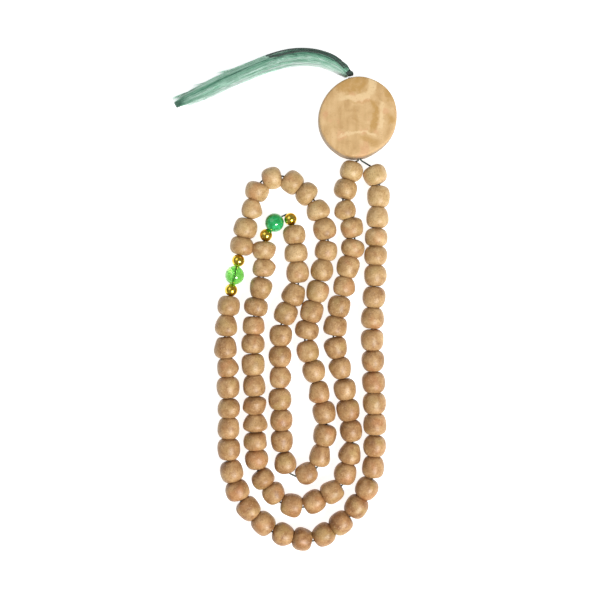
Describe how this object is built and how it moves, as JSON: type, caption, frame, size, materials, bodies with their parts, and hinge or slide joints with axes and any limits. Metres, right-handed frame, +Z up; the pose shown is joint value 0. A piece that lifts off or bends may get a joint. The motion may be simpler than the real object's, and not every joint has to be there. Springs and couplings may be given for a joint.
{
  "type": "prayer beads",
  "caption": "Long closed string of round beads with marker beads between its runs, a flat disc that both thread ends pass through, and a floss tassel.",
  "frame": {"origin": "on the table under the middle of the laid string's bounding box", "axes": "+Z up from the table, +Y along the laid string towards the disc, +X to the right with the disc's end away from the viewer"},
  "size_m": [0.093, 0.2092, 0.009],
  "materials": {
    "clay": "hand-rolled unglazed fired earth, matt to satin",
    "disc_clay": "pressed earth smoothed to a satin face with paler swirls",
    "gold": "polished gold-coloured metal",
    "lime_glass": "clear lime green, glossy",
    "emerald_glass": "cloudy emerald green, glossy",
    "cotton_thread": "twisted dark green thread",
    "floss": "fine shiny green floss"
  },
  "bodies": {
    "strand": {"stringing_thread": "cotton_thread"},
    "disc": {"imam_disc": "disc_clay"},
    "knot": {"tassel_knot": "cotton_thread"},
    "floss_root": {"floss_root": "floss", "thread_tail_a": "cotton_thread", "thread_tail_b": "cotton_thread"},
    "floss_tip": {"floss_tip": "floss"},
    "bead_1_01": {"bead_1_01": "clay"},
    "bead_1_02_03": {"bead_1_02_03": "clay"},
    "bead_1_04_05_06": {"bead_1_04_05_06": "clay"},
    "bead_1_07_08": {"bead_1_07_08": "clay"},
    "bead_1_09_10": {"bead_1_09_10": "clay"},
    "bead_1_11_12_13": {"bead_1_11_12_13": "clay"},
    "bead_1_14_15": {"bead_1_14_15": "clay"},
    "bead_1_16_17": {"bead_1_16_17": "clay"},
    "bead_1_18_19": {"bead_1_18_19": "clay"},
    "bead_1_20_21": {"bead_1_20_21": "clay"},
    "bead_1_22_23": {"bead_1_22_23": "clay"},
    "bead_1_24_25": {"bead_1_24_25": "clay"},
    "bead_1_26_27_28": {"bead_1_26_27_28": "clay"},
    "bead_1_29_30_31": {"bead_1_29_30_31": "clay"},
    "bead_1_32_33": {"bead_1_32_33": "clay"},
    "gold_ball_first_marker_a": {"gold_ball_first_marker_a": "gold"},
    "green_ball_first_marker": {"green_ball_first_marker": "lime_glass"},
    "gold_ball_first_marker_b": {"gold_ball_first_marker_b": "gold"},
    "bead_2_01_02": {"bead_2_01_02": "clay"},
    "bead_2_03_04": {"bead_2_03_04": "clay"},
    "bead_2_05": {"bead_2_05": "clay"},
    "bead_2_06_07": {"bead_2_06_07": "clay"},
    "bead_2_08_09": {"bead_2_08_09": "clay"},
    "bead_2_10_11": {"bead_2_10_11": "clay"},
    "bead_2_12_13_14": {"bead_2_12_13_14": "clay"},
    "bead_2_15_16": {"bead_2_15_16": "clay"},
    "bead_2_17_18": {"bead_2_17_18": "clay"},
    "bead_2_19_20": {"bead_2_19_20": "clay"},
    "bead_2_21": {"bead_2_21": "clay"},
    "bead_2_22": {"bead_2_22": "clay"},
    "bead_2_23_24_25": {"bead_2_23_24_25": "clay"},
    "bead_2_26_27_28": {"bead_2_26_27_28": "clay"},
    "bead_2_29_30": {"bead_2_29_30": "clay"},
    "bead_2_31_32_33": {"bead_2_31_32_33": "clay"},
    "gold_ball_second_marker_a": {"gold_ball_second_marker_a": "gold"},
    "green_ball_second_marker": {"green_ball_second_marker": "emerald_glass"},
    "gold_ball_second_marker_b": {"gold_ball_second_marker_b": "gold"},
    "bead_3_01_02": {"bead_3_01_02": "clay"},
    "bead_3_03_04": {"bead_3_03_04": "clay"},
    "bead_3_05_06": {"bead_3_05_06": "clay"},
    "bead_3_07_08": {"bead_3_07_08": "clay"},
    "bead_3_09_10": {"bead_3_09_10": "clay"},
    "bead_3_11_12": {"bead_3_11_12": "clay"},
    "bead_3_13_14": {"bead_3_13_14": "clay"},
    "bead_3_15": {"bead_3_15": "clay"},
    "bead_3_16_17": {"bead_3_16_17": "clay"},
    "bead_3_18_19": {"bead_3_18_19": "clay"},
    "bead_3_20_21_22": {"bead_3_20_21_22": "clay"},
    "bead_3_23_24": {"bead_3_23_24": "clay"},
    "bead_3_25_26": {"bead_3_25_26": "clay"},
    "bead_3_27_28_29": {"bead_3_27_28_29": "clay"},
    "bead_3_30_31": {"bead_3_30_31": "clay"},
    "bead_3_32_33": {"bead_3_32_33": "clay"}
  },
  "joints": [
    {"name": "disc_turn", "type": "hinge", "parent": "strand", "child": "disc", "pos_m": [0.02838, 0.07475, 0.0045], "axis": [-0.1132, 0.9936, 0], "continuous": true},
    {"name": "tassel_lift", "type": "hinge", "parent": "strand", "child": "knot", "pos_m": [0.02624, 0.0936, 0.0045], "axis": [0, 1, 0], "range_deg": [0, 80]},
    {"name": "tassel_sway", "type": "hinge", "parent": "knot", "child": "floss_root", "pos_m": [0.02624, 0.0936, 0.0045], "axis": [0, 0, 1], "range_deg": [-60, 30]},
    {"name": "floss_bend", "type": "hinge", "parent": "floss_root", "child": "floss_tip", "pos_m": [-0.01157, 0.0975, 0.002], "axis": [0, 0, 1], "range_deg": [-30, 30]},
    {"name": "bead_1_01_spin", "type": "hinge", "parent": "strand", "child": "bead_1_01", "pos_m": [0.03681, 0.05126, 0.00452], "axis": [0.416, -0.9094, 0], "continuous": true},
    {"name": "bead_1_02_03_spin", "type": "hinge", "parent": "strand", "child": "bead_1_02_03", "pos_m": [0.03799, 0.03802, 0.00452], "axis": [-0.0737, -0.9973, 0], "continuous": true},
    {"name": "bead_1_04_05_06_spin", "type": "hinge", "parent": "strand", "child": "bead_1_04_05_06", "pos_m": [0.03697, 0.01707, 0.00452], "axis": [-0.03, -0.9996, 0], "continuous": true},
    {"name": "bead_1_07_08_spin", "type": "hinge", "parent": "strand", "child": "bead_1_07_08", "pos_m": [0.03602, -0.00388, 0.00452], "axis": [-0.067, -0.9978, 0], "continuous": true},
    {"name": "bead_1_09_10_spin", "type": "hinge", "parent": "strand", "child": "bead_1_09_10", "pos_m": [0.03574, -0.02168, 0.00452], "axis": [0.0364, -0.9993, 0], "continuous": true},
    {"name": "bead_1_11_12_13_spin", "type": "hinge", "parent": "strand", "child": "bead_1_11_12_13", "pos_m": [0.03645, -0.0437, 0.00452], "axis": [0.0292, -0.9996, 0], "continuous": true},
    {"name": "bead_1_14_15_spin", "type": "hinge", "parent": "strand", "child": "bead_1_14_15", "pos_m": [0.03627, -0.06583, 0.00452], "axis": [-0.0638, -0.998, 0], "continuous": true},
    {"name": "bead_1_16_17_spin", "type": "hinge", "parent": "strand", "child": "bead_1_16_17", "pos_m": [0.03109, -0.08292, 0.00452], "axis": [-0.5008, -0.8655, 0], "continuous": true},
    {"name": "bead_1_18_19_spin", "type": "hinge", "parent": "strand", "child": "bead_1_18_19", "pos_m": [0.01894, -0.09602, 0.00452], "axis": [-0.8257, -0.5641, 0], "continuous": true},
    {"name": "bead_1_20_21_spin", "type": "hinge", "parent": "strand", "child": "bead_1_20_21", "pos_m": [0.00227, -0.09929, 0.00452], "axis": [-0.9736, 0.2284, 0], "continuous": true},
    {"name": "bead_1_22_23_spin", "type": "hinge", "parent": "strand", "child": "bead_1_22_23", "pos_m": [-0.01289, -0.09074, 0.00452], "axis": [-0.7083, 0.7059, 0], "continuous": true},
    {"name": "bead_1_24_25_spin", "type": "hinge", "parent": "strand", "child": "bead_1_24_25", "pos_m": [-0.02185, -0.07577, 0.00452], "axis": [-0.2772, 0.9608, 0], "continuous": true},
    {"name": "bead_1_26_27_28_spin", "type": "hinge", "parent": "strand", "child": "bead_1_26_27_28", "pos_m": [-0.02423, -0.05447, 0.00452], "axis": [0.0018, 1, 0], "continuous": true},
    {"name": "bead_1_29_30_31_spin", "type": "hinge", "parent": "strand", "child": "bead_1_29_30_31", "pos_m": [-0.025, -0.02883, 0.00452], "axis": [-0.0625, 0.998, 0], "continuous": true},
    {"name": "bead_1_32_33_spin", "type": "hinge", "parent": "strand", "child": "bead_1_32_33", "pos_m": [-0.02475, -0.00742, 0.00452], "axis": [0.1244, 0.9922, 0], "continuous": true},
    {"name": "gold_ball_first_marker_a_spin", "type": "hinge", "parent": "strand", "child": "gold_ball_first_marker_a", "pos_m": [-0.02316, 0.00343, 0.00452], "axis": [0.2126, 0.9771, 0], "continuous": true},
    {"name": "green_ball_first_marker_spin", "type": "hinge", "parent": "strand", "child": "green_ball_first_marker", "pos_m": [-0.02171, 0.00959, 0.00452], "axis": [0.2413, 0.9705, 0], "continuous": true},
    {"name": "gold_ball_first_marker_b_spin", "type": "hinge", "parent": "strand", "child": "gold_ball_first_marker_b", "pos_m": [-0.02018, 0.01573, 0.00452], "axis": [0.241, 0.9705, 0], "continuous": true},
    {"name": "bead_2_01_02_spin", "type": "hinge", "parent": "strand", "child": "bead_2_01_02", "pos_m": [-0.0179, 0.02569, 0.00452], "axis": [0.2171, 0.9762, 0], "continuous": true},
    {"name": "bead_2_03_04_spin", "type": "hinge", "parent": "strand", "child": "bead_2_03_04", "pos_m": [-0.01375, 0.04072, 0.00452], "axis": [0.3157, 0.9489, 0], "continuous": true},
    {"name": "bead_2_05_spin", "type": "hinge", "parent": "strand", "child": "bead_2_05", "pos_m": [-0.00621, 0.05011, 0.00452], "axis": [0.9735, 0.2287, 0], "continuous": true},
    {"name": "bead_2_06_07_spin", "type": "hinge", "parent": "strand", "child": "bead_2_06_07", "pos_m": [0.0051, 0.046, 0.00452], "axis": [0.7871, -0.6168, 0], "continuous": true},
    {"name": "bead_2_08_09_spin", "type": "hinge", "parent": "strand", "child": "bead_2_08_09", "pos_m": [0.01443, 0.03257, 0.00452], "axis": [0.3262, -0.9453, 0], "continuous": true},
    {"name": "bead_2_10_11_spin", "type": "hinge", "parent": "strand", "child": "bead_2_10_11", "pos_m": [0.01552, 0.01557, 0.00452], "axis": [-0.2022, -0.9793, 0], "continuous": true},
    {"name": "bead_2_12_13_14_spin", "type": "hinge", "parent": "strand", "child": "bead_2_12_13_14", "pos_m": [0.01064, -0.00484, 0.00452], "axis": [-0.2537, -0.9673, 0], "continuous": true},
    {"name": "bead_2_15_16_spin", "type": "hinge", "parent": "strand", "child": "bead_2_15_16", "pos_m": [0.01004, -0.02616, 0.00452], "axis": [0.2893, -0.9572, 0], "continuous": true},
    {"name": "bead_2_17_18_spin", "type": "hinge", "parent": "strand", "child": "bead_2_17_18", "pos_m": [0.01462, -0.04332, 0.00452], "axis": [0.2267, -0.974, 0], "continuous": true},
    {"name": "bead_2_19_20_spin", "type": "hinge", "parent": "strand", "child": "bead_2_19_20", "pos_m": [0.01488, -0.06119, 0.00452], "axis": [-0.1988, -0.98, 0], "continuous": true},
    {"name": "bead_2_21_spin", "type": "hinge", "parent": "strand", "child": "bead_2_21", "pos_m": [0.00816, -0.07268, 0.00452], "axis": [-0.9174, -0.3979, 0], "continuous": true},
    {"name": "bead_2_22_spin", "type": "hinge", "parent": "strand", "child": "bead_2_22", "pos_m": [-0.00055, -0.06844, 0.00452], "axis": [-0.2535, 0.9673, 0], "continuous": true},
    {"name": "bead_2_23_24_25_spin", "type": "hinge", "parent": "strand", "child": "bead_2_23_24_25", "pos_m": [-0.00242, -0.05064, 0.00452], "axis": [-0.0519, 0.9987, 0], "continuous": true},
    {"name": "bead_2_26_27_28_spin", "type": "hinge", "parent": "strand", "child": "bead_2_26_27_28", "pos_m": [-0.00275, -0.02418, 0.00452], "axis": [0.0269, 0.9996, 0], "continuous": true},
    {"name": "bead_2_29_30_spin", "type": "hinge", "parent": "strand", "child": "bead_2_29_30", "pos_m": [0.00124, -0.00237, 0.00452], "axis": [0.3975, 0.9176, 0], "continuous": true},
    {"name": "bead_2_31_32_33_spin", "type": "hinge", "parent": "strand", "child": "bead_2_31_32_33", "pos_m": [0.00387, 0.01846, 0.00452], "axis": [-0.0821, 0.9966, 0], "continuous": true},
    {"name": "gold_ball_second_marker_a_spin", "type": "hinge", "parent": "strand", "child": "gold_ball_second_marker_a", "pos_m": [0.00156, 0.033, 0.00452], "axis": [-0.5119, 0.8591, 0], "continuous": true},
    {"name": "green_ball_second_marker_spin", "type": "hinge", "parent": "strand", "child": "green_ball_second_marker", "pos_m": [-0.00516, 0.03153, 0.00452], "axis": [-0.6474, -0.7621, 0], "continuous": true},
    {"name": "gold_ball_second_marker_b_spin", "type": "hinge", "parent": "strand", "child": "gold_ball_second_marker_b", "pos_m": [-0.00862, 0.02631, 0.00452], "axis": [-0.3908, -0.9205, 0], "continuous": true},
    {"name": "bead_3_01_02_spin", "type": "hinge", "parent": "strand", "child": "bead_3_01_02", "pos_m": [-0.0097, 0.01631, 0.00452], "axis": [-0.0135, -0.9999, 0], "continuous": true},
    {"name": "bead_3_03_04_spin", "type": "hinge", "parent": "strand", "child": "bead_3_03_04", "pos_m": [-0.01175, 0.00068, 0.00452], "axis": [-0.2356, -0.9719, 0], "continuous": true},
    {"name": "bead_3_05_06_spin", "type": "hinge", "parent": "strand", "child": "bead_3_05_06", "pos_m": [-0.014, -0.01524, 0.00452], "axis": [-0.0374, -0.9993, 0], "continuous": true},
    {"name": "bead_3_07_08_spin", "type": "hinge", "parent": "strand", "child": "bead_3_07_08", "pos_m": [-0.01379, -0.03193, 0.00452], "axis": [0.0558, -0.9984, 0], "continuous": true},
    {"name": "bead_3_09_10_spin", "type": "hinge", "parent": "strand", "child": "bead_3_09_10", "pos_m": [-0.0132, -0.04824, 0.00452], "axis": [0.0124, -0.9999, 0], "continuous": true},
    {"name": "bead_3_11_12_spin", "type": "hinge", "parent": "strand", "child": "bead_3_11_12", "pos_m": [-0.01273, -0.06343, 0.00452], "axis": [0.0497, -0.9988, 0], "continuous": true},
    {"name": "bead_3_13_14_spin", "type": "hinge", "parent": "strand", "child": "bead_3_13_14", "pos_m": [-0.00767, -0.07827, 0.00452], "axis": [0.5699, -0.8217, 0], "continuous": true},
    {"name": "bead_3_15_spin", "type": "hinge", "parent": "strand", "child": "bead_3_15", "pos_m": [0.00201, -0.08617, 0.00452], "axis": [0.9773, -0.212, 0], "continuous": true},
    {"name": "bead_3_16_17_spin", "type": "hinge", "parent": "strand", "child": "bead_3_16_17", "pos_m": [0.0151, -0.08262, 0.00452], "axis": [0.8703, 0.4925, 0], "continuous": true},
    {"name": "bead_3_18_19_spin", "type": "hinge", "parent": "strand", "child": "bead_3_18_19", "pos_m": [0.02546, -0.06873, 0.00452], "axis": [0.2237, 0.9747, 0], "continuous": true},
    {"name": "bead_3_20_21_22_spin", "type": "hinge", "parent": "strand", "child": "bead_3_20_21_22", "pos_m": [0.02549, -0.04655, 0.00452], "axis": [-0.1487, 0.9889, 0], "continuous": true},
    {"name": "bead_3_23_24_spin", "type": "hinge", "parent": "strand", "child": "bead_3_23_24", "pos_m": [0.02145, -0.02479, 0.00452], "axis": [-0.2333, 0.9724, 0], "continuous": true},
    {"name": "bead_3_25_26_spin", "type": "hinge", "parent": "strand", "child": "bead_3_25_26", "pos_m": [0.02104, -0.0073, 0.00452], "axis": [0.1973, 0.9803, 0], "continuous": true},
    {"name": "bead_3_27_28_29_spin", "type": "hinge", "parent": "strand", "child": "bead_3_27_28_29", "pos_m": [0.02552, 0.01277, 0.00452], "axis": [0.232, 0.9727, 0], "continuous": true},
    {"name": "bead_3_30_31_spin", "type": "hinge", "parent": "strand", "child": "bead_3_30_31", "pos_m": [0.02581, 0.03297, 0.00452], "axis": [-0.309, 0.9511, 0], "continuous": true},
    {"name": "bead_3_32_33_spin", "type": "hinge", "parent": "strand", "child": "bead_3_32_33", "pos_m": [0.0257, 0.04919, 0.00452], "axis": [0.2969, 0.9549, 0], "continuous": true}
  ]
}
